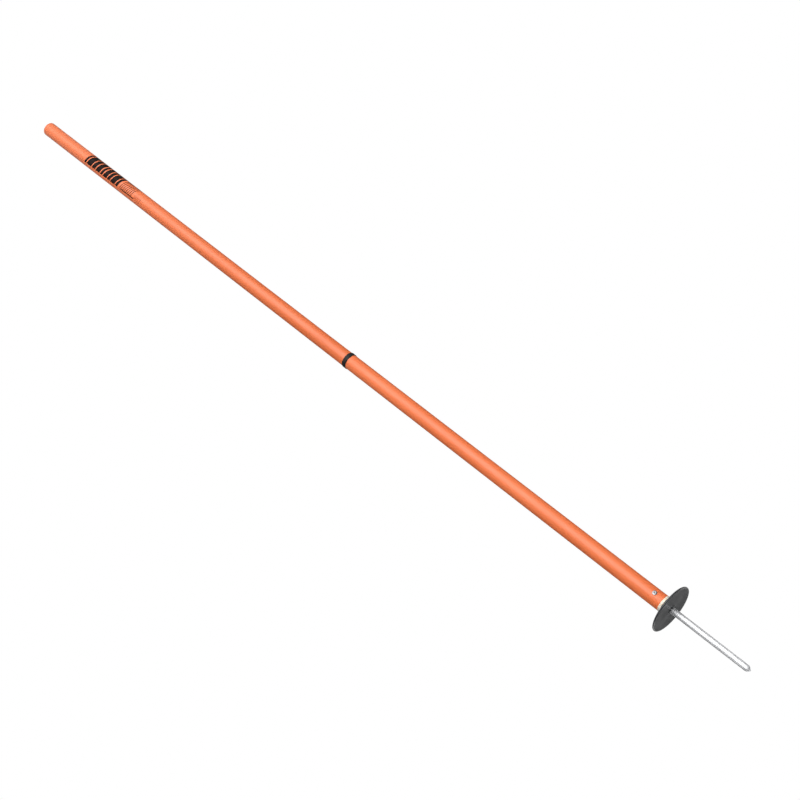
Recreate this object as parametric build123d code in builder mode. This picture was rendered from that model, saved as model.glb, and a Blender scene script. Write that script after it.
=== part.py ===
from build123d import *
import os

# Driveway snow marker: an orange tube in two sections, joined by a black push-in connector, on a
# steel ground spike. A dark disc on the spike stops the pole from sinking in.
# Frame: millimetres, +Z up the pole's axis, origin on the axis at the ground line, where the
# disc's boss bears on the ground. The spike points down -Z and the rivet in the base faces -Y.

# Tube sections
TUBE_OD = 25.0
TUBE_WALL = 2.0
LOWER_TUBE_LENGTH = 635.0
UPPER_TUBE_LENGTH = 804.0
TUBE_EDGE = 0.3

# Ground spike: a round steel rod, bare below the ground line and moulded into the plug above it
SPIKE_DIAMETER = 9.5
SPIKE_BARE_LENGTH = 134.0
SPIKE_POINT_LENGTH = 7.0
SPIKE_NOSE_DIAMETER = 2.4
SPIKE_SHANK_TOP = 56.0
SPIKE_GROOVE_WIDTH = 1.5
SPIKE_GROOVE_DEPTH = 0.45
SPIKE_GRIP_GROOVES = (26.0, 42.0, 50.0)

# Ground disc: nearly flat, with a low boss below, a rounded rim and a tapered hub above
DISC_DIAMETER = 75.0
DISC_HEIGHT = 11.8
DISC_WEB = 2.8
DISC_DOME_BASE = 0.4
DISC_DOME_RISE = 1.0
DISC_BEAD_RADIUS = 1.5
DISC_BOSS_RADIUS = 8.5
DISC_HUB_TOP_RADIUS = 9.5
DISC_HUB_ROOT_RADIUS = 11.5
DISC_BORE_CLEARANCE = 0.05
DISC_BOSS_EDGE = 0.25
DISC_HUB_EDGE = 0.8

# Push-in mouldings: barrels that fill the tube's bore, gripping it with shallow rings
PLUG_FLANGE_DIAMETER = 25.6
PLUG_FLANGE_BOTTOM = 12.0
PLUG_FLANGE_THICKNESS = 4.0
PLUG_FLANGE_EDGE = 0.5
PLUG_BARREL_LENGTH = 44.0
BARREL_PLAY = 0.3
RING_PLAY = 0.03
RING_WIDTH = 2.0
LEAD_IN = 1.0

# Blind rivet through the tube's wall into the plug
RIVET_ABOVE_TUBE_END = 15.0
RIVET_DIAMETER = 4.0
RIVET_STEM_LENGTH = 5.4
RIVET_HEAD_DIAMETER = 7.0
RIVET_HEAD_HEIGHT = 1.1
RIVET_HEAD_EDGE = 0.7
MANDREL_DIAMETER = 2.2
MANDREL_HEAD_DIAMETER = 3.6
MANDREL_HEAD_LENGTH = 1.5
MANDREL_RECESS = 0.4

# Connector between the two tube sections
COLLAR_DIAMETER = 26.5
COLLAR_SPACE = 8.0
COLLAR_GAP = 0.1
COLLAR_EDGE = 0.9
SPIGOT_LENGTH = 60.0
SPIGOT_PLAY = 0.08
SPIGOT_BORE_DIAMETER = 15.0
SPIGOT_FLUTES = 6
SPIGOT_FLUTE_WIDTH = 2.4
SPIGOT_FLUTE_DEPTH = 0.7

# Cap in the top end
CAP_DIAMETER = 24.8
CAP_THICKNESS = 3.0
CAP_EDGE = 1.2
CAP_BARREL_LENGTH = 18.0
CAP_WALL = 1.8

# Worked out from the dimensions above
TUBE_RADIUS = TUBE_OD / 2
BORE_RADIUS = TUBE_RADIUS - TUBE_WALL
SPIKE_RADIUS = SPIKE_DIAMETER / 2
PLUG_BARREL_BOTTOM = PLUG_FLANGE_BOTTOM + PLUG_FLANGE_THICKNESS
LOWER_TUBE_TOP = PLUG_BARREL_BOTTOM + LOWER_TUBE_LENGTH
UPPER_TUBE_BOTTOM = LOWER_TUBE_TOP + COLLAR_SPACE
UPPER_TUBE_TOP = UPPER_TUBE_BOTTOM + UPPER_TUBE_LENGTH
COLLAR_BOTTOM = LOWER_TUBE_TOP + COLLAR_GAP
COLLAR_TOP = UPPER_TUBE_BOTTOM - COLLAR_GAP
BARREL_RADIUS = BORE_RADIUS - BARREL_PLAY
RING_RADIUS = BORE_RADIUS - RING_PLAY
SPIGOT_RADIUS = BORE_RADIUS - SPIGOT_PLAY
RIVET_Z = PLUG_BARREL_BOTTOM + RIVET_ABOVE_TUBE_END
# The rivet's own plane lies on the tube's front, with its normal pointing out along -Y
RIVET_PLANE = Plane(origin=(0, -TUBE_RADIUS, RIVET_Z), x_dir=(1, 0, 0), z_dir=(0, -1, 0))

UPWARDS = (Align.CENTER, Align.CENTER, Align.MIN)


def grip_rings(heights):
    """Rings round a barrel in the part being built, each starting at one of the heights."""
    with Locations(*[(0, 0, height) for height in heights]):
        Cylinder(RING_RADIUS, RING_WIDTH, align=UPWARDS)


def dome_height(radius):
    """Height of the disc's ground face at this distance from the axis."""
    return DISC_DOME_BASE + DISC_DOME_RISE * (radius / (DISC_DIAMETER / 2)) ** 2


# Lower tube, with the rivet's hole in its front
with BuildPart() as lower_tube:
    with BuildSketch(Plane.XY.offset(PLUG_BARREL_BOTTOM)):
        Circle(TUBE_RADIUS)
        Circle(BORE_RADIUS, mode=Mode.SUBTRACT)
    extrude(amount=LOWER_TUBE_LENGTH)
    chamfer(lower_tube.edges(), TUBE_EDGE)
    with BuildSketch(RIVET_PLANE):
        Circle(RIVET_DIAMETER / 2)
    extrude(amount=-TUBE_WALL - 1, mode=Mode.SUBTRACT)

# Upper tube, plain
with BuildPart() as upper_tube:
    with BuildSketch(Plane.XY.offset(UPPER_TUBE_BOTTOM)):
        Circle(TUBE_RADIUS)
        Circle(BORE_RADIUS, mode=Mode.SUBTRACT)
    extrude(amount=UPPER_TUBE_LENGTH)
    chamfer(upper_tube.edges(), TUBE_EDGE)

# Ground spike: rod, blunt rounded point, a groove at the ground line and grip grooves in the shank
with BuildPart() as ground_spike:
    with BuildSketch(Plane.XZ):
        with BuildLine():
            TangentArc(
                (SPIKE_RADIUS, SPIKE_POINT_LENGTH - SPIKE_BARE_LENGTH),
                (SPIKE_NOSE_DIAMETER / 2, -SPIKE_BARE_LENGTH),
                tangent=(0, -1),
            )
            Polyline(
                (SPIKE_NOSE_DIAMETER / 2, -SPIKE_BARE_LENGTH),
                (0, -SPIKE_BARE_LENGTH),
                (0, SPIKE_SHANK_TOP),
                (SPIKE_RADIUS, SPIKE_SHANK_TOP),
                (SPIKE_RADIUS, SPIKE_POINT_LENGTH - SPIKE_BARE_LENGTH),
            )
        make_face()
    revolve(axis=Axis.Z)
    fillet(ground_spike.edges().group_by(Axis.Z)[0], SPIKE_NOSE_DIAMETER / 4)
    chamfer(ground_spike.edges().group_by(Axis.Z)[-1], LEAD_IN)
    for groove_bottom in (0.0, *SPIKE_GRIP_GROOVES):
        with BuildSketch(Plane.XY.offset(groove_bottom)):
            Circle(SPIKE_RADIUS + 1)
            Circle(SPIKE_RADIUS - SPIKE_GROOVE_DEPTH, mode=Mode.SUBTRACT)
        extrude(amount=SPIKE_GROOVE_WIDTH, mode=Mode.SUBTRACT)

# Ground disc: web between two shallow arcs, rounded rim bead, boss and tapered hub
with BuildPart() as ground_disc:
    with BuildSketch(Plane.XZ) as disc_section:
        rim = DISC_DIAMETER / 2 - DISC_BEAD_RADIUS
        middle = (DISC_BOSS_RADIUS + rim) / 2
        bore = SPIKE_RADIUS + DISC_BORE_CLEARANCE
        with BuildLine():
            ThreePointArc(
                (DISC_BOSS_RADIUS, dome_height(DISC_BOSS_RADIUS)),
                (middle, dome_height(middle)),
                (rim, dome_height(rim)),
            )
            Line((rim, dome_height(rim)), (rim, dome_height(rim) + DISC_WEB))
            ThreePointArc(
                (rim, dome_height(rim) + DISC_WEB),
                (middle, dome_height(middle) + DISC_WEB),
                (DISC_HUB_ROOT_RADIUS, dome_height(DISC_HUB_ROOT_RADIUS) + DISC_WEB),
            )
            Polyline(
                (DISC_HUB_ROOT_RADIUS, dome_height(DISC_HUB_ROOT_RADIUS) + DISC_WEB),
                (DISC_HUB_TOP_RADIUS, DISC_HEIGHT),
                (bore, DISC_HEIGHT),
                (bore, 0),
                (DISC_BOSS_RADIUS, 0),
                (DISC_BOSS_RADIUS, dome_height(DISC_BOSS_RADIUS)),
            )
        make_face()
        with Locations((rim, dome_height(rim) + DISC_WEB / 2)):
            Circle(DISC_BEAD_RADIUS)
    revolve(axis=Axis.Z)
    boss_rings = ground_disc.edges().filter_by(GeomType.CIRCLE).group_by(Axis.Z)[0]
    fillet(boss_rings.sort_by(SortBy.RADIUS)[-1], DISC_BOSS_EDGE)
    hub_rings = ground_disc.edges().filter_by(GeomType.CIRCLE).group_by(Axis.Z)[-1]
    fillet(hub_rings.sort_by(SortBy.RADIUS)[-1], DISC_HUB_EDGE)

# Blind rivet: head curved to the tube, stem into the plug, bored for its mandrel
with BuildPart() as plug_rivet:
    with BuildSketch(RIVET_PLANE.offset(-RIVET_HEAD_HEIGHT)):
        Circle(RIVET_HEAD_DIAMETER / 2)
    extrude(amount=2 * RIVET_HEAD_HEIGHT)
    fillet(plug_rivet.edges().group_by(Axis.Y)[0], RIVET_HEAD_EDGE)
    with BuildSketch(Plane.XY.offset(RIVET_Z - RIVET_HEAD_DIAMETER)):
        Circle(TUBE_RADIUS)
    extrude(amount=2 * RIVET_HEAD_DIAMETER, mode=Mode.SUBTRACT)
    with BuildSketch(RIVET_PLANE):
        Circle(RIVET_DIAMETER / 2)
    extrude(amount=-RIVET_STEM_LENGTH)
    with BuildSketch(RIVET_PLANE.offset(RIVET_HEAD_HEIGHT)):
        Circle(MANDREL_DIAMETER / 2)
    extrude(amount=-RIVET_HEAD_HEIGHT - RIVET_STEM_LENGTH, mode=Mode.SUBTRACT)

# Mandrel left in the rivet, snapped off below the head's face, its own head behind the stem
with BuildPart() as rivet_mandrel:
    with BuildSketch(RIVET_PLANE.offset(RIVET_HEAD_HEIGHT - MANDREL_RECESS)):
        Circle(MANDREL_DIAMETER / 2)
    extrude(amount=MANDREL_RECESS - RIVET_HEAD_HEIGHT - RIVET_STEM_LENGTH)
    with BuildSketch(RIVET_PLANE.offset(-RIVET_STEM_LENGTH)):
        Circle(MANDREL_HEAD_DIAMETER / 2)
    extrude(amount=-MANDREL_HEAD_LENGTH)

# Base plug: flange under the tube's end, ringed barrel in its bore, moulded round the spike
with BuildPart() as base_plug:
    with BuildSketch(Plane.XY.offset(PLUG_FLANGE_BOTTOM)):
        Circle(PLUG_FLANGE_DIAMETER / 2)
    extrude(amount=PLUG_FLANGE_THICKNESS)
    fillet(base_plug.edges(), PLUG_FLANGE_EDGE)
    with BuildSketch(Plane.XY.offset(PLUG_BARREL_BOTTOM)):
        Circle(BARREL_RADIUS)
    extrude(amount=PLUG_BARREL_LENGTH)
    chamfer(base_plug.edges().group_by(Axis.Z)[-1], LEAD_IN)
    grip_rings([PLUG_BARREL_BOTTOM + height for height in (4.0, 22.0, 30.0, 38.0)])
    with BuildSketch(RIVET_PLANE):
        Circle(RIVET_DIAMETER / 2)
    extrude(amount=-RIVET_STEM_LENGTH - MANDREL_HEAD_LENGTH, mode=Mode.SUBTRACT)
    add(ground_spike.part, mode=Mode.SUBTRACT)

# Connector: hollow moulding with a collar between the tubes and a fluted spigot in each
with BuildPart() as joint_connector:
    with BuildSketch(Plane.XY.offset(COLLAR_BOTTOM)):
        Circle(COLLAR_DIAMETER / 2)
    extrude(amount=COLLAR_TOP - COLLAR_BOTTOM)
    fillet(joint_connector.edges(), COLLAR_EDGE)
    with BuildSketch(Plane.XY.offset(LOWER_TUBE_TOP - SPIGOT_LENGTH)):
        Circle(SPIGOT_RADIUS)
    extrude(amount=COLLAR_SPACE + 2 * SPIGOT_LENGTH)
    spigot_ends = joint_connector.edges().group_by(Axis.Z)
    chamfer(spigot_ends[0] + spigot_ends[-1], LEAD_IN)
    with BuildSketch(Plane.XY.offset(LOWER_TUBE_TOP - SPIGOT_LENGTH)):
        Circle(SPIGOT_BORE_DIAMETER / 2)
        with PolarLocations(SPIGOT_RADIUS, SPIGOT_FLUTES):
            Rectangle(2 * SPIGOT_FLUTE_DEPTH, SPIGOT_FLUTE_WIDTH)
    extrude(amount=SPIGOT_LENGTH, mode=Mode.SUBTRACT)
    with BuildSketch(Plane.XY.offset(UPPER_TUBE_BOTTOM)):
        Circle(SPIGOT_BORE_DIAMETER / 2)
        with PolarLocations(SPIGOT_RADIUS, SPIGOT_FLUTES):
            Rectangle(2 * SPIGOT_FLUTE_DEPTH, SPIGOT_FLUTE_WIDTH)
    extrude(amount=SPIGOT_LENGTH, mode=Mode.SUBTRACT)

# Top cap: flat head with a rounded edge, and a hollow ringed barrel in the tube
with BuildPart() as top_cap:
    with BuildSketch(Plane.XY.offset(UPPER_TUBE_TOP)):
        Circle(CAP_DIAMETER / 2)
    extrude(amount=CAP_THICKNESS)
    fillet(top_cap.edges().group_by(Axis.Z)[-1], CAP_EDGE)
    with BuildSketch(Plane.XY.offset(UPPER_TUBE_TOP)):
        Circle(BARREL_RADIUS)
    extrude(amount=-CAP_BARREL_LENGTH)
    chamfer(top_cap.edges().group_by(Axis.Z)[0], LEAD_IN)
    grip_rings([UPPER_TUBE_TOP - height for height in (6.0, 10.0, 14.0)])
    with BuildSketch(Plane.XY.offset(UPPER_TUBE_TOP)):
        Circle(BARREL_RADIUS - CAP_WALL)
    extrude(amount=-CAP_BARREL_LENGTH, mode=Mode.SUBTRACT)

lower_tube.part.label = "lower_tube"
upper_tube.part.label = "upper_tube"
ground_spike.part.label = "ground_spike"
ground_disc.part.label = "ground_disc"
plug_rivet.part.label = "plug_rivet"
rivet_mandrel.part.label = "rivet_mandrel"
base_plug.part.label = "base_plug"
joint_connector.part.label = "joint_connector"
top_cap.part.label = "top_cap"

os.makedirs("parts", exist_ok=True)
export_step(lower_tube.part, "parts/lower_tube.step")
export_step(upper_tube.part, "parts/upper_tube.step")
export_step(ground_spike.part, "parts/ground_spike.step")
export_step(ground_disc.part, "parts/ground_disc.step")
export_step(plug_rivet.part, "parts/plug_rivet.step")
export_step(rivet_mandrel.part, "parts/rivet_mandrel.step")
export_step(base_plug.part, "parts/base_plug.step")
export_step(joint_connector.part, "parts/joint_connector.step")
export_step(top_cap.part, "parts/top_cap.step")
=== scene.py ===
import math

import bpy
from mathutils import Matrix, Vector

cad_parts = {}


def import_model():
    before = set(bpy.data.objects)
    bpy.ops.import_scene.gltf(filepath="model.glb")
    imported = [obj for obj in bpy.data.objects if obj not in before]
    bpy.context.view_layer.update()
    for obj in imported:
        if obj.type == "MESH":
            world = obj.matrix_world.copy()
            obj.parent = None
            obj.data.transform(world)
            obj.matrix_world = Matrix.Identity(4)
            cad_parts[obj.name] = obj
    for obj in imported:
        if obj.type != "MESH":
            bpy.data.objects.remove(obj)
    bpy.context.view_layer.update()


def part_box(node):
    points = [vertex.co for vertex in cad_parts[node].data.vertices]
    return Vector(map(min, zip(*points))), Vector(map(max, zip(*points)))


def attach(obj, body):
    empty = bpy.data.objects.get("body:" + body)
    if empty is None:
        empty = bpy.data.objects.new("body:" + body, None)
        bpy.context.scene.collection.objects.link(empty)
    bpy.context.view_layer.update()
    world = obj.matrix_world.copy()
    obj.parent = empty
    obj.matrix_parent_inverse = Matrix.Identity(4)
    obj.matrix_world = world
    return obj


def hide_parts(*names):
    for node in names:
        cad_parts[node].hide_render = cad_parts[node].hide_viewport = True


# Looks of the driveway snow marker: finely turned meshes over the CAD frame, procedural
# materials, a white studio and a camera that looks up at the pole from its spike end.
# Metres, in the frame's own axes: +Z up the pole, the ground line at z = 0, the rivet on -Y.

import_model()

MM = 0.001

# How bodies of revolution are made
SEGMENTS = 128
CORNER_STEPS = 5
ON_AXIS = 1e-9
SHARP_ANGLE = math.radians(38)

# Shared by the pieces that push into the tubes
TUBE_WALL = 2.0 * MM
BARREL_PLAY = 0.3 * MM
LEAD_IN = 1.0 * MM


# ---------------------------------------------------------------- meshes


def rounded(corners):
    """Points of a closed outline given as (radius, z, fillet). A fillet makes its corner an arc."""
    points = []
    for index, (radius, z, fillet) in enumerate(corners):
        corner = Vector((radius, z))
        if fillet == 0:
            points.append(corner)
            continue
        before = Vector(corners[index - 1][:2])
        after = Vector(corners[(index + 1) % len(corners)][:2])
        back, forth = (before - corner).normalized(), (after - corner).normalized()
        half = back.angle(forth) / 2
        bisector = (back + forth).normalized()
        centre = corner + bisector * (fillet / math.sin(half))
        sweep = math.pi - 2 * half
        turn = 1 if back.x * forth.y - back.y * forth.x < 0 else -1
        for step in range(CORNER_STEPS + 1):
            angle = turn * sweep * (step / CORNER_STEPS - 0.5)
            spoke = Vector((-bisector.x, -bisector.y)) * fillet
            points.append(
                centre
                + Vector(
                    (
                        spoke.x * math.cos(angle) - spoke.y * math.sin(angle),
                        spoke.x * math.sin(angle) + spoke.y * math.cos(angle),
                    )
                )
            )
    return points


# Flutes along the spigots. Each side of a flute takes up a small share of its half width.
FLUTES = 6
FLUTE_WIDTH = 2.4 * MM
FLUTE_DEPTH = 0.7 * MM
FLUTE_SIDE = 0.12


def flute_angles():
    """Angles round a fluted spigot, each with 1 inside a flute and 0 on the land between."""
    half = FLUTE_WIDTH / (2 * (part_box("upper_tube")[1].x - TUBE_WALL))
    edge = half * FLUTE_SIDE
    angles = []
    for flute in range(FLUTES):
        middle = 2 * math.pi * flute / FLUTES
        angles += [(middle - half - edge, 0), (middle - half, 1), (middle, 1)]
        angles += [(middle + half, 1), (middle + half + edge, 0)]
        land = 2 * math.pi / FLUTES - 2 * (half + edge)
        steps = SEGMENTS // FLUTES
        angles += [(middle + half + edge + land * k / steps, 0) for k in range(1, steps)]
    return angles


def turned(name, outline, closed=False, angles=None, flutes=()):
    """A body of revolution about Z. flutes holds the indices of the points that the flutes cut."""
    angles = angles or [(2 * math.pi * k / SEGMENTS, 0) for k in range(SEGMENTS)]
    vertices, rings = [], []
    for index, point in enumerate(outline):
        if point.x < ON_AXIS:
            rings.append([len(vertices)] * len(angles))
            vertices.append((0, 0, point.y))
            continue
        rings.append(range(len(vertices), len(vertices) + len(angles)))
        for angle, fluted in angles:
            radius = point.x - (FLUTE_DEPTH if fluted and index in flutes else 0)
            vertices.append((radius * math.cos(angle), radius * math.sin(angle), point.y))
    faces = []
    pairs = list(zip(rings, rings[1:]))
    if closed:
        pairs.append((rings[-1], rings[0]))
    for low, high in pairs:
        for k in range(len(angles)):
            after = (k + 1) % len(angles)
            corners = dict.fromkeys((low[k], low[after], high[after], high[k]))
            if len(corners) > 2:
                faces.append(list(corners))
    mesh = bpy.data.meshes.new(name)
    mesh.from_pydata(vertices, [], faces)
    mesh.validate()
    mesh.shade_smooth()
    mesh.set_sharp_from_angle(angle=SHARP_ANGLE)
    piece = bpy.data.objects.new(name, mesh)
    bpy.context.scene.collection.objects.link(piece)
    return piece


def place(piece, material, slot, body, *nodes):
    """Gives a piece its material and the frame body that it rides on, in place of CAD nodes."""
    piece.data.materials.append(material)
    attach(piece, body)
    if nodes:
        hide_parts(*nodes)


TUBE_EDGE = 0.35 * MM


def tube(name, node):
    low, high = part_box(node)
    outer = high.x
    inner = outer - TUBE_WALL
    ends = ((outer, low.z), (outer, high.z), (inner, high.z), (inner, low.z))
    return turned(name, rounded([(*end, TUBE_EDGE) for end in ends]), closed=True)


SPIKE_NOSE = 1.2 * MM
SPIKE_POINT = 7.0 * MM
SPIKE_GROOVE_WIDTH = 1.5 * MM
SPIKE_GROOVE_DEPTH = 0.45 * MM
SPIKE_NOSE_EDGE = 0.5 * MM
SPIKE_GROOVE_EDGE = 0.2 * MM
SPIKE_TOP_EDGE = 0.6 * MM
POINT_STEPS = 12


def spike():
    low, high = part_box("ground_spike")
    radius = high.x
    # The point's side is an arc that leaves the rod without a corner and ends on a small flat nose
    drop = radius - SPIKE_NOSE
    arc = (drop**2 + SPIKE_POINT**2) / (2 * drop)
    reach = math.asin(SPIKE_POINT / arc)
    corners = [(0, low.z, 0), (SPIKE_NOSE, low.z, SPIKE_NOSE_EDGE)]
    for step in range(1, POINT_STEPS + 1):
        angle = reach * (1 - step / POINT_STEPS)
        side = radius - arc + arc * math.cos(angle)
        corners.append((side, low.z + SPIKE_POINT - arc * math.sin(angle), 0))
    corners += [
        (radius, 0, SPIKE_GROOVE_EDGE),
        (radius - SPIKE_GROOVE_DEPTH, 0, 0),
        (radius - SPIKE_GROOVE_DEPTH, SPIKE_GROOVE_WIDTH, 0),
        (radius, SPIKE_GROOVE_WIDTH, SPIKE_GROOVE_EDGE),
        (radius, high.z, SPIKE_TOP_EDGE),
        (0, high.z, 0),
    ]
    return turned("spike", rounded(corners))


# The disc's section: a nearly flat domed web from boss to rim, a bead round the rim and a hub
DISC_WEB = 2.8 * MM
DISC_BEAD = 1.5 * MM
DISC_BOSS = 8.5 * MM
DISC_DOME_BASE = 0.4 * MM
DISC_DOME_RISE = 1.0 * MM
DISC_HUB_ROOT = 11.5 * MM
DISC_HUB_TOP = 9.5 * MM
DISC_BORE_CLEARANCE = 0.05 * MM
DISC_BORE_EDGE = 0.3 * MM
DISC_BOSS_EDGE = 0.25 * MM
DISC_HUB_EDGE = 0.8 * MM
WEB_STEPS = 14
BEAD_STEPS = 16


def disc():
    low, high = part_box("ground_disc")
    rim = high.x - DISC_BEAD
    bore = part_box("ground_spike")[1].x + DISC_BORE_CLEARANCE

    def dome(radius):
        return DISC_DOME_BASE + DISC_DOME_RISE * (radius / high.x) ** 2

    corners = [(bore, low.z, DISC_BORE_EDGE), (DISC_BOSS, low.z, DISC_BOSS_EDGE)]
    for step in range(WEB_STEPS):
        radius = DISC_BOSS + (rim - DISC_BOSS) * step / WEB_STEPS
        corners.append((radius, dome(radius), 0))
    for step in range(BEAD_STEPS + 1):
        angle = math.radians(-90 + 180 * step / BEAD_STEPS)
        bead_z = dome(rim) + DISC_WEB / 2 + DISC_BEAD * math.sin(angle)
        corners.append((rim + DISC_BEAD * math.cos(angle), bead_z, 0))
    for step in range(1, WEB_STEPS):
        radius = rim + (DISC_HUB_ROOT - rim) * step / WEB_STEPS
        corners.append((radius, dome(radius) + DISC_WEB, 0))
    corners += [
        (DISC_HUB_ROOT, dome(DISC_HUB_ROOT) + DISC_WEB, DISC_HUB_EDGE),
        (DISC_HUB_TOP, high.z, DISC_HUB_EDGE),
        (bore, high.z, DISC_BORE_EDGE),
    ]
    return turned("disc", rounded(corners), closed=True)


PLUG_MOUTH_EDGE = 0.3 * MM
PLUG_FLANGE_EDGE = 0.5 * MM


def plug():
    low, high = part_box("base_plug")
    flange_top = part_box("lower_tube")[0].z
    spike_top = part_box("ground_spike")[1]
    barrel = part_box("lower_tube")[1].x - TUBE_WALL - BARREL_PLAY
    outline = rounded(
        [
            (spike_top.x, low.z, PLUG_MOUTH_EDGE),
            (high.x, low.z, PLUG_FLANGE_EDGE),
            (high.x, flange_top, PLUG_FLANGE_EDGE),
            (barrel, flange_top, 0),
            (barrel, high.z, LEAD_IN),
            (0, high.z, 0),
            (0, spike_top.z, 0),
            (spike_top.x, spike_top.z, 0),
        ]
    )
    return turned("plug", outline, closed=True)


SPIGOT_WALL = 2.9 * MM
SPIGOT_PLAY = 0.08 * MM
SPIGOT_EDGE = 0.3 * MM
SPIGOT_MOUTH_EDGE = 0.4 * MM
COLLAR_GAP = 0.1 * MM
COLLAR_EDGE = 0.9 * MM
# The flutes cut the outline's points between these: out from the spigot's bore and past its skin
FLUTED_FROM = 1.2 * MM
FLUTED_TO = 0.01 * MM


def connector():
    low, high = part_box("joint_connector")
    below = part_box("lower_tube")[1].z
    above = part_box("upper_tube")[0].z
    collar = high.x
    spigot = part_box("upper_tube")[1].x - TUBE_WALL - SPIGOT_PLAY
    inside = spigot - SPIGOT_WALL
    corners = [
        (0, below, 0),
        (inside, below, 0),
        (inside, low.z, SPIGOT_MOUTH_EDGE),
        (spigot - LEAD_IN, low.z, SPIGOT_EDGE),
        (spigot, low.z + LEAD_IN, SPIGOT_EDGE),
        (spigot, below + COLLAR_GAP, 0),
        (collar, below + COLLAR_GAP, COLLAR_EDGE),
        (collar, above - COLLAR_GAP, COLLAR_EDGE),
        (spigot, above - COLLAR_GAP, 0),
        (spigot, high.z - LEAD_IN, SPIGOT_EDGE),
        (spigot - LEAD_IN, high.z, SPIGOT_EDGE),
        (inside, high.z, SPIGOT_MOUTH_EDGE),
        (inside, above, 0),
        (0, above, 0),
    ]
    outline = rounded(corners)
    on_spigot = [
        index
        for index, point in enumerate(outline)
        if inside + FLUTED_FROM < point.x < spigot + FLUTED_TO
    ]
    return turned("connector", outline, angles=flute_angles(), flutes=on_spigot)


CAP_WALL = 1.8 * MM
CAP_EDGE = 1.3 * MM
CAP_SEAT_EDGE = 0.2 * MM
CAP_MOUTH_EDGE = 0.3 * MM


def cap():
    low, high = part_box("top_cap")
    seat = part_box("upper_tube")[1].z
    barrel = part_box("upper_tube")[1].x - TUBE_WALL - BARREL_PLAY
    outline = rounded(
        [
            (0, high.z, 0),
            (high.x, high.z, CAP_EDGE),
            (high.x, seat, CAP_SEAT_EDGE),
            (barrel, seat, 0),
            (barrel, low.z, LEAD_IN),
            (barrel - CAP_WALL, low.z, CAP_MOUTH_EDGE),
            (barrel - CAP_WALL, seat, 0),
            (0, seat, 0),
        ]
    )
    return turned("cap", outline)


def facing_front(piece, z):
    """Turns a piece made about +Z to sit on the lower tube's front, pointing out along -Y."""
    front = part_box("lower_tube")[0].y
    turn = Matrix.Translation((0, front, z)) @ Matrix.Rotation(math.radians(90), 4, "X")
    piece.data.transform(turn)


# The blind rivet: a domed head with a hole for the mandrel, and a shank through the tube's wall.
# The head's rim and crown are shares of its own height and radius. Below the seat, another share
# of its height, the head follows the tube's wall.
RIVET_HOLE = 1.1 * MM
RIVET_SHANK = 2 * MM
RIVET_DEPTH = 5 * MM
RIVET_RIM = 0.55
RIVET_CROWN = 0.62
RIVET_SEAT = 0.3
RIVET_FOOT_EDGE = 0.1 * MM
RIVET_RIM_EDGE = 0.35 * MM
RIVET_CROWN_EDGE = 0.8 * MM
RIVET_HOLE_EDGE = 0.25 * MM


def rivet():
    low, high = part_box("plug_rivet")
    z = (low.z + high.z) / 2
    head = (high.x - low.x) / 2
    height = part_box("lower_tube")[0].y - low.y
    outline = rounded(
        [
            (RIVET_HOLE, -RIVET_DEPTH, 0),
            (RIVET_SHANK, -RIVET_DEPTH, 0),
            (RIVET_SHANK, 0, 0),
            (head, 0, RIVET_FOOT_EDGE),
            (head, height * RIVET_RIM, RIVET_RIM_EDGE),
            (head * RIVET_CROWN, height, RIVET_CROWN_EDGE),
            (RIVET_HOLE, height, RIVET_HOLE_EDGE),
        ]
    )
    piece = turned("rivet", outline, closed=True)
    tube_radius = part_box("lower_tube")[1].x
    for vertex in piece.data.vertices:
        if 0 <= vertex.co.z < height * RIVET_SEAT:
            vertex.co.z -= tube_radius - math.sqrt(tube_radius**2 - vertex.co.x**2)
    facing_front(piece, z)
    return piece


# The mandrel's snapped end: a small raised break with a sloping shoulder
BREAK_RADIUS = 0.55
BREAK_DROP = 0.1 * MM
SHOULDER_DROP = 0.25 * MM
SHOULDER_EDGE = 0.1 * MM


def mandrel():
    low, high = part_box("rivet_mandrel")
    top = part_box("lower_tube")[0].y - low.y
    outline = rounded(
        [
            (0, top, 0),
            (RIVET_HOLE * BREAK_RADIUS, top - BREAK_DROP, 0),
            (RIVET_HOLE, top - SHOULDER_DROP, SHOULDER_EDGE),
            (RIVET_HOLE, -RIVET_DEPTH, 0),
            (0, -RIVET_DEPTH, 0),
        ]
    )
    piece = turned("mandrel", outline)
    facing_front(piece, (low.z + high.z) / 2)
    return piece


# The print faces the front, like the rivet. It stands in for the real one with plain marks: a run
# of bold slanted bars, a finer run between two lines, and a small faint block. Heights along the
# pole are distances below its top; sizes round the tube are along its surface.
PRINT_LIFT = 0.04 * MM
PRINT_FACING = math.radians(-90)
PRINT_HEIGHT = 25.0 * MM
PRINT_STEP = 0.6 * MM
PRINT_LEAN = 7.0 * MM
BOLD_START = 128.0 * MM
BOLD_BARS = (5, 13, 9, 11, 6, 10, 7, 12, 6)
BOLD_GAP = 2.2 * MM
FINE_START = 230.0 * MM
FINE_END = 266.0 * MM
FINE_BAR = 1.3 * MM
FINE_GAP = 4.4 * MM
FINE_LINE = 1.8 * MM
FAINT_START = 270.0 * MM
FAINT_END = 290.0 * MM
FAINT_BAR = 0.9 * MM
FAINT_GAP = 2.6 * MM


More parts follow.
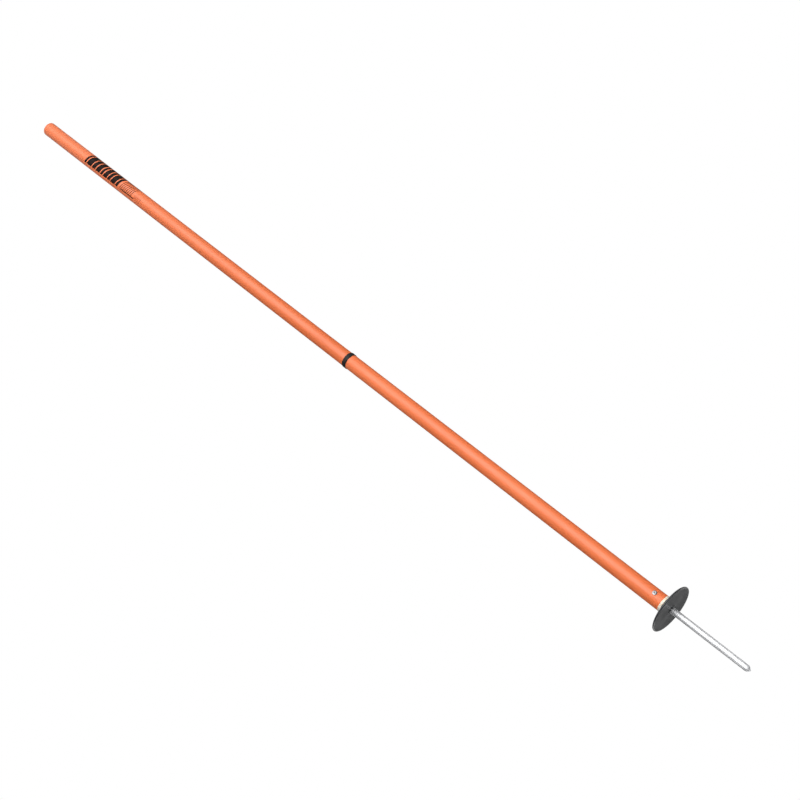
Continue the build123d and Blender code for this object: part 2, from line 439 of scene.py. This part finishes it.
class Print:
    """Thin marks that follow the upper tube's surface, gathered into one mesh."""

    def __init__(self):
        self.vertices, self.faces = [], []
        self.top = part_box("top_cap")[1].z
        self.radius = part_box("upper_tube")[1].x + PRINT_LIFT

    def mark(self, start, end, low, high, lean=0.0):
        """A patch between two distances below the top and two positions round the surface."""
        steps = max(2, round((high - low) / PRINT_STEP))
        first = len(self.vertices)
        for step in range(steps + 1):
            across = low + (high - low) * step / steps
            angle = PRINT_FACING + across / self.radius
            shift = lean * across / PRINT_HEIGHT
            for distance in (start, end):
                spot = (self.radius * math.cos(angle), self.radius * math.sin(angle))
                self.vertices.append((*spot, self.top - distance - shift))
        for step in range(steps):
            corner = first + 2 * step
            self.faces.append((corner, corner + 1, corner + 3, corner + 2))

    def bars(self, start, end, width, pitch, low, high):
        count = int((end - start) / pitch)
        for bar in range(count):
            at = start + bar * pitch
            self.mark(at, at + width, low, high, PRINT_LEAN)

    def piece(self, name):
        mesh = bpy.data.meshes.new(name)
        mesh.from_pydata(self.vertices, [], self.faces)
        mesh.shade_smooth()
        made = bpy.data.objects.new(name, mesh)
        bpy.context.scene.collection.objects.link(made)
        return made


def bold_print():
    half = PRINT_HEIGHT / 2
    marks = Print()
    at = BOLD_START
    for width in BOLD_BARS:
        marks.mark(at, at + width * MM, -half, half, PRINT_LEAN)
        at += width * MM + BOLD_GAP
    marks.bars(FINE_START, FINE_END, FINE_BAR, FINE_GAP, -half, half)
    marks.mark(FINE_START, FINE_END, half - FINE_LINE, half)
    marks.mark(FINE_START, FINE_END, -half, FINE_LINE - half)
    return marks.piece("print_bold")


def faint_print():
    half = PRINT_HEIGHT / 2
    marks = Print()
    marks.bars(FAINT_START, FAINT_END, FAINT_BAR, FAINT_GAP, -half, -half / 3)
    return marks.piece("print_faint")


# ---------------------------------------------------------------- materials


class Finish:
    """A procedural material in object space, built a layer at a time on one Principled shader."""

    def __init__(self, name, color, roughness, **sockets):
        self.material = bpy.data.materials.new(name)
        self.material.use_nodes = True
        self.tree = self.material.node_tree
        self.shader = self.tree.nodes["Principled BSDF"]
        self.shader.inputs["Base Color"].default_value = (*color, 1)
        self.shader.inputs["Roughness"].default_value = roughness
        for socket, value in sockets.items():
            self.shader.inputs[socket.replace("_", " ")].default_value = value
        self.place = self.tree.nodes.new("ShaderNodeTexCoord").outputs["Object"]

    def node(self, kind):
        return self.tree.nodes.new(kind)

    def noise(self, stretch, detail=3.0, roughness=0.5):
        """Noise from 0 to 1. stretch is the number of its cells per metre along X, Y and Z."""
        mapping = self.node("ShaderNodeMapping")
        mapping.inputs["Scale"].default_value = stretch
        self.tree.links.new(self.place, mapping.inputs["Vector"])
        noise = self.node("ShaderNodeTexNoise")
        noise.inputs["Scale"].default_value = 1.0
        noise.inputs["Detail"].default_value = detail
        noise.inputs["Roughness"].default_value = roughness
        self.tree.links.new(mapping.outputs["Vector"], noise.inputs["Vector"])
        return noise.outputs["Fac"]

    def spread(self, value, low, high, to_low, to_high):
        """Value rescaled from low..high to to_low..to_high, with its ends held."""
        spread = self.node("ShaderNodeMapRange")
        numbers = (low, high, to_low, to_high)
        for socket, number in zip(("From Min", "From Max", "To Min", "To Max"), numbers):
            spread.inputs[socket].default_value = number
        self.tree.links.new(value, spread.inputs["Value"])
        return spread.outputs["Result"]

    def color(self, fac, other):
        """Blends the colour so far towards another one, where fac is near 1."""
        mix = self.node("ShaderNodeMix")
        mix.data_type = "RGBA"
        base = self.shader.inputs["Base Color"]
        if base.is_linked:
            self.tree.links.new(base.links[0].from_socket, mix.inputs["A"])
        else:
            mix.inputs["A"].default_value = base.default_value
        mix.inputs["B"].default_value = (*other, 1)
        self.tree.links.new(fac, mix.inputs["Factor"])
        self.tree.links.new(mix.outputs["Result"], base)

    def rough(self, value):
        self.tree.links.new(value, self.shader.inputs["Roughness"])

    def bump(self, height, depth, strength=1.0):
        """Adds relief of this depth in metres over any relief so far."""
        bump = self.node("ShaderNodeBump")
        bump.inputs["Distance"].default_value = depth
        bump.inputs["Strength"].default_value = strength
        normal = self.shader.inputs["Normal"]
        if normal.is_linked:
            self.tree.links.new(normal.links[0].from_socket, bump.inputs["Normal"])
        self.tree.links.new(height, bump.inputs["Height"])
        self.tree.links.new(bump.outputs["Normal"], normal)


def orange_tube():
    """Extruded plastic: faint draw lines along it, soft mottling and handling scuffs."""
    finish = Finish("orange_tube", (0.88, 0.205, 0.07), 0.42, IOR=1.5)
    finish.color(
        finish.spread(finish.noise((18, 18, 5)), 0.35, 0.7, 0, 1), (0.82, 0.178, 0.055)
    )
    finish.color(
        finish.spread(finish.noise((160, 160, 900), 2), 0.66, 0.74, 0, 0.25), (0.92, 0.3, 0.14)
    )
    finish.rough(finish.spread(finish.noise((60, 60, 22), 4), 0.3, 0.7, 0.36, 0.5))
    finish.bump(finish.noise((700, 700, 2), 2), 0.04 * MM, 0.2)
    finish.bump(finish.noise((90, 90, 30), 3), 0.1 * MM, 0.2)
    return finish.material


def orange_cap():
    """Moulded plastic of the same orange, a little flatter, with a fine spark texture."""
    finish = Finish("orange_cap", (0.86, 0.2, 0.068), 0.46, IOR=1.5, Specular_IOR_Level=0.3)
    finish.color(
        finish.spread(finish.noise((70, 70, 70)), 0.35, 0.7, 0, 1), (0.78, 0.18, 0.055)
    )
    finish.bump(finish.noise((2200, 2200, 2200), 2), 0.05 * MM, 0.4)
    return finish.material


def black_moulding():
    """Black nylon with a fine moulded grain and paler rub marks."""
    finish = Finish("black_moulding", (0.012, 0.01, 0.01), 0.55, Specular_IOR_Level=0.3)
    finish.color(
        finish.spread(finish.noise((600, 600, 60), 3), 0.58, 0.75, 0, 0.5), (0.05, 0.05, 0.052)
    )
    finish.rough(finish.spread(finish.noise((120, 120, 120), 3), 0.3, 0.7, 0.5, 0.68))
    finish.bump(finish.noise((1800, 1800, 1800), 2), 0.05 * MM, 0.4)
    return finish.material


def natural_nylon():
    """Unpigmented nylon: creamy, slightly see-through and cloudy."""
    finish = Finish("natural_nylon", (0.84, 0.79, 0.66), 0.4, IOR=1.53)
    finish.shader.inputs["Subsurface Weight"].default_value = 0.25
    finish.shader.inputs["Subsurface Radius"].default_value = (1.0, 0.8, 0.5)
    finish.shader.inputs["Subsurface Scale"].default_value = 1.5 * MM
    finish.color(
        finish.spread(finish.noise((110, 110, 110), 3), 0.35, 0.7, 0, 1), (0.74, 0.67, 0.52)
    )
    finish.bump(finish.noise((1500, 1500, 1500), 2), 0.04 * MM, 0.4)
    return finish.material


def dark_rubber():
    """Dark satin rubbery plastic: fine mould grain, a faint bloom and small scuffs."""
    finish = Finish("dark_rubber", (0.04, 0.042, 0.044), 0.3, IOR=1.5)
    finish.color(
        finish.spread(finish.noise((45, 45, 45), 4), 0.35, 0.7, 0, 1), (0.06, 0.062, 0.065)
    )
    finish.color(
        finish.spread(finish.noise((420, 420, 420), 3), 0.62, 0.74, 0, 0.3), (0.13, 0.13, 0.13)
    )
    finish.rough(finish.spread(finish.noise((80, 80, 80), 3), 0.3, 0.7, 0.3, 0.42))
    finish.bump(finish.noise((1400, 1400, 1400), 3), 0.03 * MM, 0.4)
    finish.bump(finish.noise((60, 60, 60), 2), 0.15 * MM, 0.3)
    return finish.material


def drawn_steel():
    """Bright drawn rod with a thin cloudy zinc coat and fine lines along it."""
    finish = Finish("drawn_steel", (0.86, 0.865, 0.88), 0.42, Metallic=0.45)
    finish.color(
        finish.spread(finish.noise((130, 130, 40), 4), 0.4, 0.72, 0, 1), (0.76, 0.77, 0.79)
    )
    finish.rough(finish.spread(finish.noise((220, 220, 60), 4), 0.3, 0.7, 0.36, 0.5))
    finish.bump(finish.noise((2600, 2600, 14), 2), 0.02 * MM, 0.3)
    return finish.material


def rivet_aluminium():
    """Satin aluminium with the swirl that the setting tool leaves."""
    finish = Finish("rivet_aluminium", (0.4, 0.4, 0.41), 0.5, Metallic=1.0)
    finish.rough(finish.spread(finish.noise((900, 900, 900), 3), 0.3, 0.7, 0.38, 0.55))
    finish.bump(finish.noise((2500, 2500, 2500), 2), 0.03 * MM, 0.5)
    return finish.material


def mandrel_steel():
    """Snapped steel, dull and grainy."""
    finish = Finish("mandrel_steel", (0.2, 0.2, 0.21), 0.5, Metallic=1.0)
    finish.color(
        finish.spread(finish.noise((1800, 1800, 1800), 3), 0.4, 0.6, 0, 1), (0.34, 0.33, 0.32)
    )
    finish.bump(finish.noise((3000, 3000, 3000), 3), 0.12 * MM, 0.8)
    return finish.material


def black_ink():
    """Screen ink: thin and slightly worn, so it is a shade warmer where it has rubbed."""
    finish = Finish("black_ink", (0.012, 0.006, 0.005), 0.6, Specular_IOR_Level=0.1)
    finish.color(
        finish.spread(finish.noise((700, 700, 700), 4), 0.6, 0.8, 0, 0.45), (0.25, 0.07, 0.03)
    )
    finish.rough(finish.spread(finish.noise((300, 300, 300), 3), 0.3, 0.7, 0.52, 0.68))
    return finish.material


def faint_ink():
    """The same ink where it is nearly worn away, so it is a darker orange."""
    finish = Finish("faint_ink", (0.36, 0.06, 0.02), 0.55, Specular_IOR_Level=0.3)
    finish.color(
        finish.spread(finish.noise((500, 500, 500), 4), 0.4, 0.7, 0, 1), (0.7, 0.15, 0.045)
    )
    return finish.material


# ---------------------------------------------------------------- pieces

tube_finish = orange_tube()
place(tube("tube_lower", "lower_tube"), tube_finish, "orange_tube", "lower_section", "lower_tube")
place(tube("tube_upper", "upper_tube"), tube_finish, "orange_tube", "upper_section", "upper_tube")
place(cap(), orange_cap(), "orange_cap", "upper_section", "top_cap")
place(bold_print(), black_ink(), "black_plastic", "upper_section")
place(faint_print(), faint_ink(), "black_plastic", "upper_section")
place(connector(), black_moulding(), "black_plastic", "connector", "joint_connector")
place(plug(), natural_nylon(), "natural_plastic", "lower_section", "base_plug")
place(spike(), drawn_steel(), "spike_steel", "lower_section", "ground_spike")
place(disc(), dark_rubber(), "dark_rubber", "disc", "ground_disc")
place(rivet(), rivet_aluminium(), "rivet_aluminium", "lower_section", "plug_rivet")
place(mandrel(), mandrel_steel(), "mandrel_steel", "lower_section", "rivet_mandrel")

# ---------------------------------------------------------------- studio

# The floor lies well below the spike, and its tone fades to white between two distances
FLOOR_Z = -0.95
FLOOR_SIZE = 60
FLOOR_TONE = 0.9
FLOOR_FADE_START = 1.0
FLOOR_FADE_END = 9.0

# Soft lights, as bright areas of a dim surrounding sphere. Each has an azimuth counted from +X and
# a height above level, the radius within which it is at full strength and the one where it ends,
# all in degrees, and its strength. In order, seen from the camera: the key light, a low front
# light, two low ones from behind, a dimmer one far below for the disc's underside, one overhead.
AMBIENT = 0.05
LIGHTS = (
    (-98, 22, 8, 42, 4.2),
    (-108, -12, 4, 18, 3.0),
    (110, -25, 5, 35, 2.4),
    (35, -25, 5, 28, 2.4),
    (70, -55, 10, 34, 1.3),
    (0, 90, 20, 60, 0.8),
)


def direction(azimuth, elevation):
    azimuth, elevation = math.radians(azimuth), math.radians(elevation)
    level = math.cos(elevation)
    return Vector((level * math.cos(azimuth), level * math.sin(azimuth), math.sin(elevation)))


def floor():
    """A pale plain floor, which only the camera sees and which fades into the white behind it."""
    half = FLOOR_SIZE / 2
    around = ((-half, -half), (half, -half), (half, half), (-half, half))
    mesh = bpy.data.meshes.new("floor")
    mesh.from_pydata([(x, y, FLOOR_Z) for x, y in around], [], [(0, 1, 2, 3)])
    stage = bpy.data.objects.new("floor", mesh)
    bpy.context.scene.collection.objects.link(stage)
    stage.visible_diffuse = stage.visible_glossy = False
    stage.visible_transmission = stage.visible_shadow = False
    white = (1, 1, 1, 1)
    paint = Finish("floor_paint", (0, 0, 0), 1.0, Specular_IOR_Level=0, Emission_Color=white)
    reach = paint.node("ShaderNodeVectorMath")
    reach.operation = "LENGTH"
    paint.tree.links.new(paint.place, reach.inputs[0])
    fade = (FLOOR_FADE_START, FLOOR_FADE_END)
    tone = paint.spread(reach.outputs["Value"], *fade, FLOOR_TONE, 1)
    paint.tree.links.new(tone, paint.shader.inputs["Emission Strength"])
    mesh.materials.append(paint.material)


def bright_area(tree, way, azimuth, elevation, full, end, strength):
    """Strength of one light, for a direction of the world's sphere."""
    facing = tree.nodes.new("ShaderNodeVectorMath")
    facing.operation = "DOT_PRODUCT"
    facing.inputs[1].default_value = direction(azimuth, elevation)
    tree.links.new(way, facing.inputs[0])
    fade = tree.nodes.new("ShaderNodeMapRange")
    fade.interpolation_type = "SMOOTHSTEP"
    limits = (math.cos(math.radians(end)), math.cos(math.radians(full)), 0, strength)
    for socket, number in zip(("From Min", "From Max", "To Min", "To Max"), limits):
        fade.inputs[socket].default_value = number
    tree.links.new(facing.outputs["Value"], fade.inputs["Value"])
    return fade.outputs["Result"]


def world():
    """White behind the object, and the soft lights that fall on it."""
    studio = bpy.data.worlds.new("studio")
    bpy.context.scene.world = studio
    studio.use_nodes = True
    tree = studio.node_tree
    seen = tree.nodes["Background"]
    seen.inputs["Color"].default_value = (1, 1, 1, 1)
    lit = tree.nodes.new("ShaderNodeBackground")
    lit.inputs["Color"].default_value = (1, 1, 1, 1)
    way = tree.nodes.new("ShaderNodeTexCoord").outputs["Generated"]
    total = None
    for light in LIGHTS:
        add = tree.nodes.new("ShaderNodeMath")
        tree.links.new(bright_area(tree, way, *light), add.inputs[0])
        if total:
            tree.links.new(total, add.inputs[1])
        else:
            add.inputs[1].default_value = AMBIENT
        total = add.outputs["Value"]
    tree.links.new(total, lit.inputs["Strength"])
    rays = tree.nodes.new("ShaderNodeLightPath")
    mix = tree.nodes.new("ShaderNodeMixShader")
    tree.links.new(rays.outputs["Is Camera Ray"], mix.inputs["Fac"])
    tree.links.new(lit.outputs["Background"], mix.inputs[1])
    tree.links.new(seen.outputs["Background"], mix.inputs[2])
    tree.links.new(mix.outputs["Shader"], tree.nodes["World Output"].inputs["Surface"])


floor()
world()
bpy.context.scene.view_settings.view_transform = "Standard"

# ---------------------------------------------------------------- camera

# Where the eye stands: its distance from the pole's axis, its azimuth from -Y and its height
EYE_DISTANCE = 2.12
EYE_AZIMUTH = math.radians(-20)
EYE_Z = -0.652
AIM_Z = 0.54
LENS = 71.3
ROLL = math.radians(52.3)


def camera():
    eye = Vector(
        (EYE_DISTANCE * math.sin(EYE_AZIMUTH), -EYE_DISTANCE * math.cos(EYE_AZIMUTH), EYE_Z)
    )
    data = bpy.data.cameras.new("camera")
    data.lens = LENS
    made = bpy.data.objects.new("camera", data)
    made.location = eye
    made.rotation_mode = "QUATERNION"
    level = (Vector((0, 0, AIM_Z)) - eye).to_track_quat("-Z", "Y")
    made.rotation_quaternion = level @ Matrix.Rotation(-ROLL, 4, "Z").to_quaternion()
    bpy.context.scene.collection.objects.link(made)
    bpy.context.scene.camera = made


camera()
